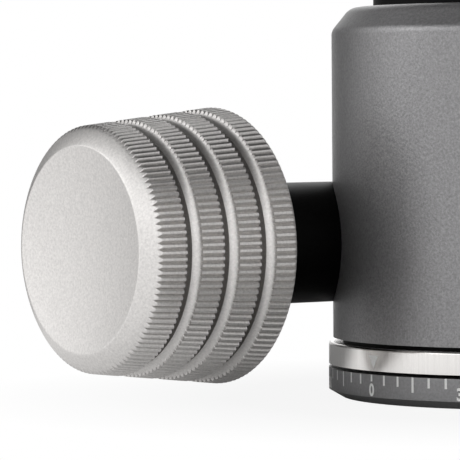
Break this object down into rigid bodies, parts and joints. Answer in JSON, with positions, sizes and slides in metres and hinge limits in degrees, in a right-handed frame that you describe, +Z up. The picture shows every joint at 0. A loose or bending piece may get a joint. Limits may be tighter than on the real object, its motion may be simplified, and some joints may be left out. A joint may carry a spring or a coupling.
{
  "type": "tripod ball head",
  "caption": "Tripod ball head with an off-centre lock knob, graduated panning base, ball with drop notch and a screw clamp for dovetail camera plates.",
  "frame": {"origin": "centre of the base plate's underside, on the pan axis and at the mouth of the tripod thread", "axes": "+Z up along the pan axis, -X the way the lock knob points, -Y the side of the drop notch"},
  "size_m": [0.1113, 0.0694, 0.0944],
  "materials": {
    "knob_silver": "bead-blasted, clear anodised",
    "body_titan": "bead-blasted, titanium-grey anodised",
    "ring_satin": "satin turned, clear anodised",
    "base_graphite": "bead-blasted, graphite anodised",
    "black_anodised": "bead-blasted, black anodised",
    "plain_aluminium": "turned",
    "ball_anodised": "polished, hard anodised",
    "steel": "turned",
    "black_steel": "black oxide",
    "bronze": "turned",
    "acetal": "plain",
    "black_acetal": "plain",
    "seal_rubber": "plain",
    "level_glass": "tinted liquid"
  },
  "bodies": {
    "base": {"base_plate": "base_graphite", "thread_bush": "steel", "pan_drum": "plain_aluminium", "base_screws": "steel"},
    "housing": {"housing": "body_titan", "index_ring": "ring_satin", "retaining_ring": "black_anodised", "retaining_screws": "steel", "slip_ring": "acetal", "thrust_washer": "acetal", "spindle_sleeve": "black_anodised", "seat_ring": "acetal", "dust_seal": "seal_rubber", "top_collar": "black_anodised", "seat_grub_screw": "black_steel"},
    "lock_knob": {"lock_knob": "knob_silver", "lock_spindle": "steel", "lock_washer": "black_acetal", "spindle_circlip": "black_steel", "lock_set_screw": "black_steel"},
    "wedge": {"wedge": "steel", "spindle_nut": "bronze"},
    "cup": {"pressure_cup": "plain_aluminium", "cup_liner": "acetal"},
    "ball": {"ball": "ball_anodised"},
    "clamp": {"clamp_base": "black_anodised", "clamp_bolt": "black_steel", "bolt_washer": "steel", "guide_pins": "steel", "level_case": "black_acetal", "level_vial": "level_glass"},
    "jaw": {"moving_jaw": "black_anodised"},
    "clamp_knob": {"clamp_screw": "steel", "clamp_knob": "knob_silver", "clamp_washer": "black_acetal", "clamp_set_screw": "black_steel"},
    "pan_shoe": {"brake_shoe": "bronze"},
    "pan_knob": {"pan_screw": "steel", "pan_knob": "knob_silver", "pan_set_screw": "black_steel"}
  },
  "joints": [
    {"name": "pan", "type": "hinge", "parent": "base", "child": "housing", "pos_m": [0, 0, 0.0062], "axis": [0, 0, 1], "continuous": true},
    {"name": "lock_turn", "type": "hinge", "parent": "housing", "child": "lock_knob", "pos_m": [-0.06, 0.0195, 0.0219], "axis": [-1, 0, 0], "range_deg": [0, 300]},
    {"name": "wedge_slide", "type": "slide", "parent": "housing", "child": "wedge", "axis": [1, 0, 0], "range_m": [0, 0.0011]},
    {"name": "cup_drop", "type": "slide", "parent": "housing", "child": "cup", "axis": [0, 0, -1], "range_m": [0, 0.00014]},
    {"name": "tilt", "type": "hinge", "parent": "housing", "child": "ball", "pos_m": [0, 0, 0.0475], "axis": [1, 0, 0], "range_deg": [-38, 90]},
    {"name": "twist", "type": "hinge", "parent": "ball", "child": "clamp", "pos_m": [0, 0, 0.081], "axis": [0, 0, 1], "continuous": true},
    {"name": "jaw_slide", "type": "slide", "parent": "clamp", "child": "jaw", "axis": [1, 0, 0], "range_m": [-0.0021, 0.0041]},
    {"name": "clamp_turn", "type": "hinge", "parent": "jaw", "child": "clamp_knob", "pos_m": [0.03, 0, 0.0849], "axis": [1, 0, 0], "range_deg": [-720, 1440]},
    {"name": "shoe_slide", "type": "slide", "parent": "housing", "child": "pan_shoe", "axis": [1, 0, 0], "range_m": [0, 0.00071]},
    {"name": "pan_lock_turn", "type": "hinge", "parent": "pan_shoe", "child": "pan_knob", "pos_m": [0.035, 0, 0.0111], "axis": [1, 0, 0], "range_deg": [0, 360]}
  ],
  "couplings": [
    {"joint": "wedge_slide", "follows": "lock_turn", "m_per_rad": 0.00019894},
    {"joint": "cup_drop", "follows": "lock_turn", "m_per_rad": 0.000024868},
    {"joint": "jaw_slide", "follows": "clamp_turn", "m_per_rad": 0.00015915},
    {"joint": "shoe_slide", "follows": "pan_lock_turn", "m_per_rad": 0.00011141}
  ]
}
